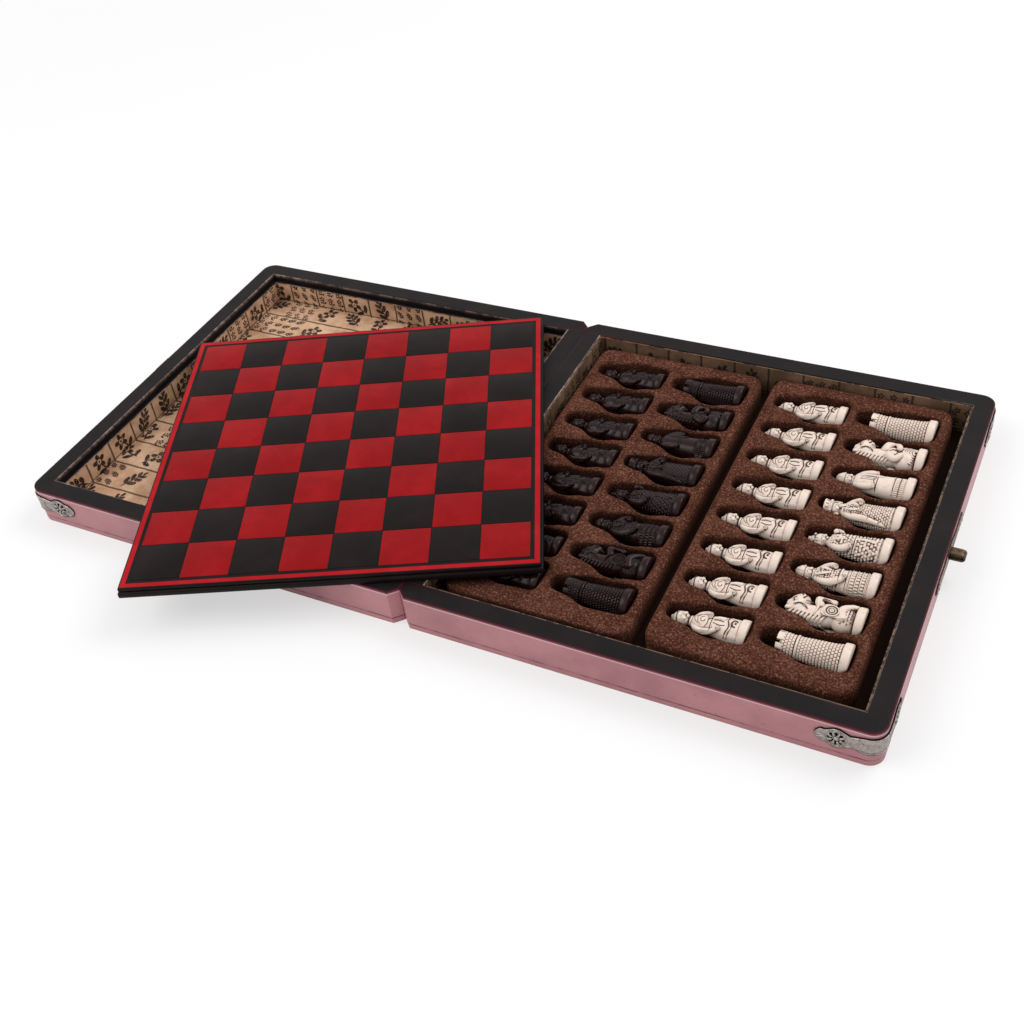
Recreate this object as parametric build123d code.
from build123d import *

import os
from math import cos, hypot, pi, sin

# A travel chess set in a box that opens like a book. Two shallow trays share a leather hinge: the base holds
# two flocked trays of carved pieces, and the lid has a ledge that the loose playing board drops into when the
# box is packed. The model shows it open flat, with the board lying askew across both rims.
#
# Millimetres. The origin is the centre of the base's underside, +Z up, +X towards the latch, +Y to the back.

# ---------------------------------------------------------------- driving dimensions: the two trays
TRAY_W = 235.5  # one tray, hinge side to latch side
TRAY_D = 241.0  # one tray, front to back
TRAY_H = 22.0  # one tray, underside to rim
OUTER_CORNER = 7.5  # radius of each outer upright corner
SEAM_CORNER = 4.5  # flat cut across each upright corner beside the hinge
WALL_T = 10.5
PANEL_T = 3.4
TRIM_T = 0.6  # leather band on the rim
SEAM_GAP = 0.3  # between the open trays, and between the rims when shut
LINING_T = 0.8  # paper-covered card inside the base
LEDGE_W = 2.5  # card strips inside the lid, which carry the board
BOARD_SINK = 4.8  # how far those strips stop below the rim
PAPER_T = 0.4  # paper on the lid's floor

# ---------------------------------------------------------------- driving dimensions: the playing board
BOARD_PLAY = 1.25  # each side, when it lies packed in the lid
BOARD_T = 6.3
BOARD_PAST_HINGE = 78.3  # where its centre lies on the lid, and how far it is turned
BOARD_FORWARD = 30.7
BOARD_TURN = 24.8
BOARD_BEVEL = 0.8
BOARD_SET_IN = 0.5  # its upper part, from the edge of its lower part
BOARD_GROOVE = 0.9  # depth of the moulded groove round its edge
BOARD_BODY_T = 3.6  # thickness below the groove
BOARD_GROOVE_H = 0.7

# ---------------------------------------------------------------- driving dimensions: flocked trays
HINGE_SIDE_GAP = 2.95  # from the lining to the dark tray
MIDDLE_GAP = 5.2  # between the two flocked trays
LATCH_SIDE_GAP = 6.75  # from the ivory tray to the lining
END_GAPS = 7.4  # front and back gaps together
DARK_BACK_GAP = 2.5
IVORY_BACK_GAP = 0.5
FOAM_H = 14.0
FOAM_CORNER = 11.0
FOAM_ROUND = 3.6  # rounded upper edge
SOFT_GAP = 0.3  # under a soft tray, and under each piece in its pocket
FOAM_FLOOR = 1.3  # foam left under the pockets
ROWS = 8
ROW_MARGIN = 10.1  # foam beyond the outermost rows' lanes, front and back together being twice this
ROW_SHIFT = 1.6  # all rows sit this much to the back
PAWN_MARGIN = 4.8  # from the tray's edge to the pawns' head ends
OFFICER_MARGIN = 6.0  # from the officers' foot ends to the tray's other edge
COLUMN_RIDGE = 4.2  # between the two columns of pockets
PAWN_SHARE = 0.488  # of the length left for pockets
POCKET_END = 0.8  # from a piece's base to the end of its pocket
BASE_PLAY = 1.3  # each side of the widest foot
BODY_PLAY = 0.8  # more than that each side of a robe

# ---------------------------------------------------------------- driving dimensions: the pieces
PAWN_SPARE, PAWN_R = 3.5, 7.2  # pocket length left over, and the radius of the foot
ROOK_SPARE, ROOK_R = 9.5, 8.3
KNIGHT_SPARE, KNIGHT_R = 6.5, 8.0
BISHOP_SPARE, BISHOP_R = 3.6, 7.9
KING_SPARE, KING_R = 4.0, 8.3
QUEEN_SPARE, QUEEN_R = 2.6, 8.3
PLINTH_H = 4.2  # round foot under every piece

# ---------------------------------------------------------------- driving dimensions: metal fittings
SHEET_T = 0.7
BRACKET_Z = 13.1  # centre line above the underside
BRACKET_L = 29.5  # from the tray's corner to the tip
ROSETTE_U = 20.0  # from the tray's corner to the rosette
ROSETTE_R = 5.9
NAIL_R = 1.3
NAIL_H = 0.7
LATCH_Y = 4.0  # the latch sits a little behind the middle
LATCH_Z = 14.0
PLATE_HALF = 29.0
PLATE_HALF_H = 6.2
PLATE_NAIL = 25.0
STAPLE_REACH = 8.2  # from the wall
STAPLE_HALF_H = 2.2
STAPLE_W = 4.6
STAPLE_T = 1.0
PIN_Z = 18.2  # hasp pin above the lid's underside
PIN_R = 0.6
PIN_PLAY = 0.06
KNUCKLE_R = 1.5
HASP_L = 17.8  # pin to tip
HASP_W = 12.0
HASP_T = 1.0
SLOT_PLAY = 0.5  # round the staple, in the hasp's slot
KNUCKLE_GAP = 0.3
KNUCKLE_L = 4.0  # each fixed knuckle
PLATE_PLAY = 0.1  # between the moving knuckle and its plate

# ---------------------------------------------------------------- derived places
HALF_W, HALF_D = TRAY_W / 2, TRAY_D / 2
HINGE_X = -HALF_W - SEAM_GAP / 2
LID_X = 2 * HINGE_X  # centre of the lid's underside
WALL_TOP = TRAY_H - TRIM_T
IN_W, IN_D = HALF_W - WALL_T, HALF_D - WALL_T
FOAM_Z = PANEL_T + SOFT_GAP
FOAM_TOP = FOAM_Z + FOAM_H
POCKET_Z = FOAM_Z + FOAM_FLOOR
LEDGE_TOP = TRAY_H - BOARD_SINK
RIM_MEET_Z = TRAY_H + SEAM_GAP / 2  # height of the fold line
BOARD_SIDE = 2 * (IN_W - BOARD_PLAY)
BOARD_X, BOARD_Y = HINGE_X - BOARD_PAST_HINGE, -BOARD_FORWARD
ROOM_W, ROOM_D = 2 * (IN_W - LINING_T), 2 * (IN_D - LINING_T)
FOAM_W = (ROOM_W - HINGE_SIDE_GAP - MIDDLE_GAP - LATCH_SIDE_GAP) / 2
FOAM_D = ROOM_D - END_GAPS
DARK_X, DARK_Y = -ROOM_W / 2 + HINGE_SIDE_GAP + FOAM_W / 2, ROOM_D / 2 - DARK_BACK_GAP - FOAM_D / 2
IVORY_X, IVORY_Y = ROOM_W / 2 - LATCH_SIDE_GAP - FOAM_W / 2, ROOM_D / 2 - IVORY_BACK_GAP - FOAM_D / 2
ROW_PITCH = (FOAM_D - 2 * ROW_MARGIN) / ROWS
POCKETS_L = FOAM_W - PAWN_MARGIN - OFFICER_MARGIN - COLUMN_RIDGE
PAWN_POCKET_L = PAWN_SHARE * POCKETS_L
OFFICER_POCKET_L = POCKETS_L - PAWN_POCKET_L
PAWN_COLUMN = -FOAM_W / 2 + PAWN_MARGIN + PAWN_POCKET_L / 2  # pocket centres, from the middle of a tray
OFFICER_COLUMN = FOAM_W / 2 - OFFICER_MARGIN - OFFICER_POCKET_L / 2
POCKET_BASE = max(ROOK_R, KING_R, QUEEN_R) + BASE_PLAY  # half widths of a pocket
POCKET_BODY = POCKET_BASE + BODY_PLAY
POCKET_HEAD = 0.635 * POCKET_BODY
PAWN_L = PAWN_POCKET_L - PAWN_SPARE
ROOK_L = OFFICER_POCKET_L - ROOK_SPARE
KNIGHT_L = OFFICER_POCKET_L - KNIGHT_SPARE
BISHOP_L = OFFICER_POCKET_L - BISHOP_SPARE
KING_L = OFFICER_POCKET_L - KING_SPARE
QUEEN_L = OFFICER_POCKET_L - QUEEN_SPARE
HASP_PIN_X = -HALF_W - SHEET_T - PLATE_PLAY - KNUCKLE_R  # from the lid's own centre


# ---------------------------------------------------------------- small helpers
def box(x0, x1, y0, y1, z0, z1):
    """A block between two corners."""
    size = (x1 - x0, y1 - y0, z1 - z0)
    return Pos((x0 + x1) / 2, (y0 + y1) / 2, (z0 + z1) / 2) * Box(*size)


def skin(rings):
    """A closed faceted solid through rings of points, each ring a scaled copy of the one before."""
    n = len(rings[0])
    faces = [Face(Wire.make_polygon(rings[0][::-1])), Face(Wire.make_polygon(rings[-1]))]
    for low, high in zip(rings, rings[1:]):
        for i in range(n):
            j = (i + 1) % n
            faces.append(Face(Wire.make_polygon([low[i], low[j], high[j], high[i]])))
    return Solid(Shell(faces))


def ring(n, z, r, depth=1.0, dx=0.0, dy=0.0):
    """A level ring of n points, r wide each way in X and depth * r in Y."""
    turn = pi / n
    return [
        Vector(dx + r * cos(turn + 2 * pi * i / n), dy + depth * r * sin(turn + 2 * pi * i / n), z)
        for i in range(n)
    ]


def turned(n, steps, depth=1.0):
    """A faceted form from (height, radius) or (height, radius, forward) steps."""
    return skin([ring(n, s[0], s[1], depth, 0, -s[2] if len(s) > 2 else 0) for s in steps])


def tray_outline(outer_side, grow=0.0):
    """One tray's plan: round corners on the latch side and cut ones at the seam. outer_side is +1 or -1."""
    w, d = HALF_W + grow, HALF_D + grow
    b = SEAM_CORNER + grow * (2 - 2**0.5)
    plan = Polygon((w, -d), (w, d), (-w + b, d), (-w, d - b), (-w, b - d), (-w + b, -d), align=None)
    plan = fillet(plan.vertices().sort_by(Axis.X)[-2:], OUTER_CORNER + grow)
    return plan if outer_side > 0 else mirror(plan, Plane.YZ)


def plan_block(face, z0, z1):
    return Pos(0, 0, z0) * extrude(face, z1 - z0, dir=(0, 0, 1))


def write(name, *solids):
    """One STEP for each sub-part. Alike fasteners or strips share one as separate solids."""
    loose = [s for shape in solids for s in shape.solids()]
    shape = loose[0] if len(loose) == 1 else Compound(children=loose)
    export_step(shape, os.path.join("parts", name + ".step"))


# ---------------------------------------------------------------- the two trays
def side_strip(facing, z0, z1):
    """The length of wall or band between the front and back ones, on the +X (facing 1) or -X (-1) side."""
    low, high = sorted((facing * IN_W, facing * HALF_W))
    return box(low, high, -IN_D, IN_D, z0, z1)


def tray_shell(side):
    """Panel and four walls about the tray's own centre: the seam wall is on the -side side."""
    whole = tray_outline(side)
    panel = plan_block(whole, 0, PANEL_T)
    body = plan_block(whole, PANEL_T, WALL_TOP)
    front = body & box(-HALF_W, HALF_W, -HALF_D, -IN_D, PANEL_T, WALL_TOP)
    back = body & box(-HALF_W, HALF_W, IN_D, HALF_D, PANEL_T, WALL_TOP)
    return panel, front, back, side_strip(side, PANEL_T, WALL_TOP), side_strip(-side, PANEL_T, WALL_TOP)


def rim_strips(side):
    """The leather band: three strips round the rim, and the half of the hinge strip beside the seam."""
    band = plan_block(tray_outline(side), WALL_TOP, TRAY_H)
    front = band & box(-HALF_W, HALF_W, -HALF_D, -IN_D, WALL_TOP, TRAY_H)
    back = band & box(-HALF_W, HALF_W, IN_D, HALF_D, WALL_TOP, TRAY_H)
    return [front, back, side_strip(side, WALL_TOP, TRAY_H)], side_strip(-side, WALL_TOP, TRAY_H)


def inner_strips(thick, z0, z1):
    """Four strips that line the walls, thick deep, between two heights."""
    w, d = IN_W, IN_D
    return [
        box(-w, w, -d, -d + thick, z0, z1),
        box(-w, w, d - thick, d, z0, z1),
        box(-w, -w + thick, -d + thick, d - thick, z0, z1),
        box(w - thick, w, -d + thick, d - thick, z0, z1),
    ]


# ---------------------------------------------------------------- metal fittings
def scalloped(steps):
    """Half of a plate, alike above and below its centre line, from (distance, half height) steps to a tip."""
    upper = Spline([(u, h) for u, h in steps])
    lower = Spline([(u, -h) for u, h in steps])
    first = steps[0]
    return make_face(Wire([upper, lower, Line((first[0], -first[1]), first)]))


def corner_bracket(side, end):
    """One sheet bracket wrapped round an outer corner. side is the latch side (+1 or -1), end -1 for the front."""
    wide, waist = 0.86 * ROSETTE_R, 0.63 * ROSETTE_R
    steps = [(-2 * SHEET_T, wide), (0.33 * ROSETTE_U, wide), (0.71 * ROSETTE_U, waist), (ROSETTE_U, ROSETTE_R)]
    leaf = scalloped(steps + [((ROSETTE_U + 2 * BRACKET_L) / 3, 0.68 * ROSETTE_R), (BRACKET_L, 0)])
    depth = SHEET_T + OUTER_CORNER
    along_x = Plane((HALF_W, -HALF_D - SHEET_T, BRACKET_Z), x_dir=(-1, 0, 0), z_dir=(0, 1, 0)) * leaf
    along_y = Plane((HALF_W + SHEET_T, -HALF_D, BRACKET_Z), x_dir=(0, 1, 0), z_dir=(-1, 0, 0)) * leaf
    legs = extrude(along_x, depth) + extrude(along_y, depth)
    sheet = plan_block(tray_outline(1, SHEET_T) - tray_outline(1), 0, TRAY_H)
    bracket = sheet & legs
    if end > 0:
        bracket = mirror(bracket, Plane.XZ)
    if side < 0:
        bracket = mirror(bracket, Plane.YZ)
    return bracket


def nail(place, out):
    """A faceted dome nail whose head stands out along the given direction."""
    head = turned(8, [(0, NAIL_R), (NAIL_H * 0.6, NAIL_R * 0.8), (NAIL_H, NAIL_R * 0.35)])
    return Plane(place, z_dir=out) * head


def tray_nails(side):
    """One nail in each rosette, and two in the latch plate."""
    face_x, face_y = side * (HALF_W + SHEET_T), HALF_D + SHEET_T
    nails = []
    for end in (-1, 1):
        nails.append(nail((side * (HALF_W - ROSETTE_U), end * face_y, BRACKET_Z), (0, end, 0)))
        nails.append(nail((face_x, end * (HALF_D - ROSETTE_U), BRACKET_Z), (side, 0, 0)))
        nails.append(nail((face_x, LATCH_Y + end * PLATE_NAIL, LATCH_Z), (side, 0, 0)))
    return nails


def latch_plate(side):
    """The back plate of either half of the latch: a round middle, two waists and a small leaf at each end."""
    shares = [(0, 1), (0.17, 0.92), (0.38, 0.52), (0.62, 0.55), (0.86, 0.66), (1, 0)]
    half = scalloped([(PLATE_HALF * along, PLATE_HALF_H * up) for along, up in shares])
    outline = half + mirror(half, Plane.YZ)
    face = Plane((side * HALF_W, LATCH_Y, LATCH_Z), x_dir=(0, 1, 0), z_dir=(side, 0, 0))
    return extrude(face * outline, SHEET_T)


def along_y(x, y, z, radius, length):
    return Pos(x, y, z) * Rot(90, 0, 0) * Cylinder(radius, length)


def staple():
    """Plate and looped strap that the hasp's slot drops over. The loop is open to the front and back."""
    turn = HALF_W + STAPLE_REACH - STAPLE_HALF_H  # centre of the loop's round end
    ends = LATCH_Y - STAPLE_W / 2, LATCH_Y + STAPLE_W / 2

    def loop(half, start):
        straight = box(start, turn, *ends, LATCH_Z - half, LATCH_Z + half)
        return straight + along_y(turn, LATCH_Y, LATCH_Z, half, STAPLE_W)

    strap = loop(STAPLE_HALF_H, HALF_W) - loop(STAPLE_HALF_H - STAPLE_T, HALF_W + SHEET_T)
    return latch_plate(1) + strap


def hasp_plate():
    """The lid's latch plate with two fixed knuckles for the hasp."""
    plate = latch_plate(-1)
    for s in (-1, 1):
        y = LATCH_Y + s * (HASP_W - KNUCKLE_L) / 2
        ends = y - KNUCKLE_L / 2, y + KNUCKLE_L / 2
        plate += along_y(HASP_PIN_X, y, PIN_Z, KNUCKLE_R, KNUCKLE_L)
        plate += box(HASP_PIN_X, -HALF_W - SHEET_T / 2, *ends, PIN_Z - PIN_R, PIN_Z + PIN_R)
    return plate - along_y(HASP_PIN_X, LATCH_Y, PIN_Z, PIN_R, 2 * HASP_W)


def hasp():
    """The swinging tongue, hanging down from its pin, with the slot that goes over the staple."""
    to_staple = 2 * RIM_MEET_Z - PIN_Z - LATCH_Z  # from pin to staple with the box shut
    loop_end = HALF_W + STAPLE_REACH - STAPLE_HALF_H + HASP_PIN_X  # the loop's round end, past the pin
    near = to_staple - STAPLE_HALF_H - SLOT_PLAY
    far = hypot(to_staple, loop_end) + STAPLE_HALF_H + SLOT_PLAY
    half, slot = HASP_W / 2, STAPLE_W / 2 + SLOT_PLAY
    cut = 0.27 * HASP_W  # the tip's cut corners
    side = [(0, half), (HASP_L - cut, half), (HASP_L, half - cut)]
    outline = Polygon(*side, *[(x, -y) for x, y in side[::-1]], align=None)
    outline -= Polygon((near, -slot), (far, -slot), (far, slot), (near, slot), align=None)
    plane = Plane((HASP_PIN_X + HASP_T / 2, LATCH_Y, PIN_Z), x_dir=(0, 0, -1), z_dir=(-1, 0, 0))
    tongue = extrude(plane * outline, HASP_T)
    for s in (-1, 1):
        y = LATCH_Y + s * (HASP_W - KNUCKLE_L) / 2
        tongue -= along_y(HASP_PIN_X, y, PIN_Z, KNUCKLE_R + KNUCKLE_GAP, KNUCKLE_L + 2 * KNUCKLE_GAP)
    tongue += along_y(HASP_PIN_X, LATCH_Y, PIN_Z, KNUCKLE_R, HASP_W - 2 * KNUCKLE_L - 2 * KNUCKLE_GAP)
    return tongue - along_y(HASP_PIN_X, LATCH_Y, PIN_Z, PIN_R + PIN_PLAY, 2 * HASP_W)


# ---------------------------------------------------------------- the playing board
def playing_board():
    """A square panel with a bevelled edge and a groove moulded round it, about its own centre."""
    half = BOARD_SIDE / 2

    def level(inset, z):
        r = (half - inset) * 2**0.5
        return ring(4, z, r)

    step, deep = BOARD_SET_IN, BOARD_SET_IN + BOARD_GROOVE
    steps = [
        level(step / 2, 0),
        level(0, step / 2),
        level(0, BOARD_BODY_T - step),
        level(step, BOARD_BODY_T),
        level(deep, BOARD_BODY_T),
        level(deep, BOARD_BODY_T + BOARD_GROOVE_H),
        level(step, BOARD_BODY_T + BOARD_GROOVE_H),
        level(step, BOARD_T - BOARD_BEVEL),
        level(step + BOARD_BEVEL, BOARD_T),
    ]
    return skin(steps)


# ---------------------------------------------------------------- flocked trays
def pocket_outline(length):
    """A pocket's plan: a rounded head end at -X, swelling round the robe, then in a little past the foot."""
    end = length / 2
    top = [
        (-end + 0.22 * length, POCKET_HEAD),
        (-end + 0.34 * length, 0.6 * POCKET_HEAD + 0.4 * POCKET_BODY),
        (-end + 0.46 * length, POCKET_BODY),
        (end - 0.2 * length, POCKET_BODY),
        (end - 0.08 * length, POCKET_BASE),
        (end, POCKET_BASE),
    ]
    sides = Polyline(*[(x, -y) for x, y in top[::-1]]), Polyline(*top), Line(top[-1], (end, -POCKET_BASE))
    head = ThreePointArc((top[0][0], -POCKET_HEAD), (-end, 0), top[0])
    return make_face(Wire([*sides[0].edges(), head.edge(), *sides[1].edges(), sides[2].edge()]))


def row_places():
    return [ROW_PITCH * ((ROWS - 1) / 2 - i) + ROW_SHIFT for i in range(ROWS)]


def flocked_tray(x, y):
    block = extrude(RectangleRounded(FOAM_W, FOAM_D, FOAM_CORNER), FOAM_H)
    block = fillet(block.edges().group_by(Axis.Z)[-1], FOAM_ROUND)
    depth = FOAM_H - FOAM_FLOOR
    for column, length in ((PAWN_COLUMN, PAWN_POCKET_L), (OFFICER_COLUMN, OFFICER_POCKET_L)):
        cutter = extrude(pocket_outline(length), depth + 1)
        block -= [Pos(column, place, FOAM_FLOOR) * cutter for place in row_places()]
    return Pos(x, y, FOAM_Z) * block


# ---------------------------------------------------------------- the pieces, standing up, facing -Y
# Their forms are given in shares of each piece's own height and of its foot's radius.
def plinth(radius):
    edge = 0.12 * PLINTH_H
    return turned(12, [(0, radius - edge), (edge, radius), (PLINTH_H - edge, radius), (PLINTH_H, radius - edge)])


def shares(height, radius, steps):
    return [(height * up, radius * wide) for up, wide in steps]


def folded_sleeves(out, elbow_z, forward, hand_z, r_sleeve):
    """Both forearms in wide sleeves, from one elbow round the front to the other."""
    elbow_forward = 0.13 * forward
    stops = [(-out, elbow_forward, elbow_z), (0, forward, hand_z), (out, elbow_forward, elbow_z)]
    hexagon = [(r_sleeve * cos(pi * k / 3), r_sleeve * sin(pi * k / 3)) for k in range(6)]
    return skin([[Vector(x, -ahead - a, z - b) for a, b in hexagon] for x, ahead, z in stops])


def figure(height, foot, robe, head, elbow, hand, sleeve):
    """A standing figure on a round plinth. elbow and hand are (share of height, share of foot radius)."""
    robe_steps = [(0.9 * PLINTH_H, foot * robe[0][1]), (PLINTH_H, foot * robe[0][1])]
    body = turned(8, robe_steps + shares(height, foot, robe[1:]), 0.86)
    arms = folded_sleeves(foot * elbow[1], height * elbow[0], foot * hand[1], height * hand[0], foot * sleeve)
    return plinth(foot) + body + turned(8, shares(height, foot, head), 0.95) + arms


def pawn():
    """A bald attendant in a long robe, hands folded in wide sleeves."""
    robe = [(0, 0.86), (0.32, 0.78), (0.56, 0.86), (0.69, 0.82), (0.76, 0.4)]
    head = [(0.74, 0.32), (0.8, 0.5), (0.88, 0.57), (0.95, 0.49), (1, 0.24)]
    return figure(PAWN_L, PAWN_R, robe, head, (0.57, 0.83), (0.47, 0.64), 0.32)


def king():
    """A robed ruler with a flat-topped crown."""
    robe = [(0, 0.87), (0.36, 0.78), (0.54, 0.82), (0.71, 0.75), (0.77, 0.36)]
    head = [(0.75, 0.29), (0.8, 0.41), (0.86, 0.46), (0.9, 0.43), (0.94, 0.52), (1, 0.37)]
    return figure(KING_L, KING_R, robe, head, (0.55, 0.77), (0.52, 0.65), 0.29)


def queen():
    """A robed lady with her hair dressed high."""
    robe = [(0, 0.88), (0.32, 0.76), (0.52, 0.75), (0.7, 0.67), (0.75, 0.31)]
    head = [(0.73, 0.27), (0.78, 0.4), (0.84, 0.45), (0.89, 0.35), (0.94, 0.37), (1, 0.17)]
    return figure(QUEEN_L, QUEEN_R, robe, head, (0.54, 0.72), (0.46, 0.59), 0.28)


def bishop():
    """An official in a plain long robe and a pointed cap."""
    robe = [(0, 0.89), (0.3, 0.81), (0.53, 0.77), (0.7, 0.7), (0.75, 0.33)]
    head = [(0.74, 0.28), (0.78, 0.4), (0.84, 0.46), (0.89, 0.44), (0.92, 0.39), (1, 0.13)]
    return figure(BISHOP_L, BISHOP_R, robe, head, (0.44, 0.76), (0.38, 0.61), 0.29)


def knight():
    """A prancing horse in profile on its plinth, looking along +X."""
    outline = [
        (-0.88, 0.25), (-0.78, 0.38), (-0.58, 0.52), (-0.63, 0.67), (-0.48, 0.81), (-0.15, 0.93), (-0.05, 1),
        (0.11, 0.94), (0.35, 0.89), (0.8, 0.75), (0.7, 0.7), (0.4, 0.715), (0.28, 0.64), (0.48, 0.55), (0.88, 0.5),
        (0.9, 0.42), (0.63, 0.36), (0.35, 0.37), (0.4, 0.25), (0.68, 0.16),
    ]
    hooves = [(0.7 * KNIGHT_R, 0.9 * PLINTH_H), (-0.75 * KNIGHT_R, 0.9 * PLINTH_H)]
    side = Polygon(*[(KNIGHT_R * x, KNIGHT_L * z) for x, z in outline], *hooves, align=None)
    half = 0.49 * KNIGHT_R
    horse = extrude(Plane.XZ * side, half, both=True)
    cut = Box(4 * KNIGHT_R, KNIGHT_R, KNIGHT_L)
    for s in (-1, 1):
        horse -= Pos(0, s * (0.79 * KNIGHT_R), KNIGHT_L) * Rot(s * 18, 0, 0) * cut
    return plinth(KNIGHT_R) + horse


def rook():
    """A round brick tower with a battlement."""
    wall = [(0.9 * PLINTH_H, 0.83 * ROOK_R), (0.73 * ROOK_L, 0.64 * ROOK_R)]
    crown = shares(ROOK_L, ROOK_R, [(0.73, 0.67), (1, 0.67)])
    course = shares(ROOK_L, ROOK_R, [(0.7, 0.65), (0.73, 0.72), (0.76, 0.67)])
    tower = turned(12, wall) + turned(12, crown) + turned(12, course)
    tower -= turned(12, shares(ROOK_L, ROOK_R, [(0.91, 0.48), (1.1, 0.48)]))
    for turn in (45, 135):
        tower -= Pos(0, 0, ROOK_L) * Rot(0, 0, turn) * Box(2 * ROOK_R, 0.29 * ROOK_R, 0.22 * ROOK_L)
    return plinth(ROOK_R) + tower


# ---------------------------------------------------------------- the set laid in its trays
OFFICERS = ("rook_1", "knight_1", "bishop_1", "king", "queen", "bishop_2", "knight_2", "rook_2")


def lay(piece, foot_x, y, radius):
    """Lay an upright piece in its pocket: head towards -X, front up."""
    return Plane((foot_x, y, POCKET_Z + SOFT_GAP + radius), x_dir=(0, 1, 0), z_dir=(-1, 0, 0)) * piece


def write_set(colour, x, y, kinds):
    """A flocked tray and its sixteen pieces, back row first."""
    write(colour + "_tray", flocked_tray(x, y))
    pawn_foot = x + PAWN_COLUMN + PAWN_POCKET_L / 2 - POCKET_END
    officer_foot = x + OFFICER_COLUMN + OFFICER_POCKET_L / 2 - POCKET_END
    for i, row in enumerate(row_places()):
        shape, radius = kinds["pawn"]
        write(f"{colour}_pawn_{i + 1}", lay(shape, pawn_foot, y + row, radius))
        shape, radius = kinds[OFFICERS[i].split("_")[0]]
        write(f"{colour}_{OFFICERS[i]}", lay(shape, officer_foot, y + row, radius))


# ---------------------------------------------------------------- the two halves of the box
def write_base():
    side = 1
    panel, front, back, outer, seam = tray_shell(side)
    rim, hinge = rim_strips(side)
    write("base_panel", panel)
    write("base_wall_front", front)
    write("base_wall_back", back)
    write("base_wall_latch", outer)
    write("base_wall_hinge", seam)
    write("base_rim_trim", *rim)
    write("hinge_strip_base", hinge)
    write("base_lining", *inner_strips(LINING_T, PANEL_T, WALL_TOP))
    write("base_brackets", *[corner_bracket(side, end) for end in (-1, 1)])
    write("base_nails", *tray_nails(side))
    write("latch_staple", staple())


def write_lid():
    side = -1
    place = Pos(LID_X, 0, 0)
    panel, front, back, outer, seam = tray_shell(side)
    rim, hinge = rim_strips(side)
    write("lid_panel", place * panel)
    write("lid_wall_front", place * front)
    write("lid_wall_back", place * back)
    write("lid_wall_latch", place * outer)
    write("lid_wall_hinge", place * seam)
    write("lid_rim_trim", *[place * strip for strip in rim])
    write("hinge_strip_lid", place * hinge)
    write("lid_board_ledge", *[place * strip for strip in inner_strips(LEDGE_W, PANEL_T, LEDGE_TOP)])
    w, d = IN_W - LEDGE_W, IN_D - LEDGE_W
    write("lid_floor_paper", place * box(-w, w, -d, d, PANEL_T, PANEL_T + PAPER_T))
    write("lid_brackets", *[place * corner_bracket(side, end) for end in (-1, 1)])
    write("lid_nails", *[place * one for one in tray_nails(side)])
    write("hasp_plate", place * hasp_plate())
    write("hasp_pin", place * along_y(HASP_PIN_X, LATCH_Y, PIN_Z, PIN_R, HASP_W))
    write("hasp", place * hasp())


def write_all():
    os.makedirs("parts", exist_ok=True)
    write_base()
    write_lid()
    write("playing_board", Pos(BOARD_X, BOARD_Y, TRAY_H) * Rot(0, 0, BOARD_TURN) * playing_board())
    kinds = {
        "pawn": (pawn(), PAWN_R),
        "rook": (rook(), ROOK_R),
        "knight": (knight(), KNIGHT_R),
        "bishop": (bishop(), BISHOP_R),
        "king": (king(), KING_R),
        "queen": (queen(), QUEEN_R),
    }
    write_set("dark", DARK_X, DARK_Y, kinds)
    write_set("ivory", IVORY_X, IVORY_Y, kinds)
    print("hinge axis: x", round(HINGE_X, 3), "z", round(RIM_MEET_Z, 3))
    print("hasp axis: x", round(LID_X + HASP_PIN_X, 3), "z", PIN_Z)


write_all()
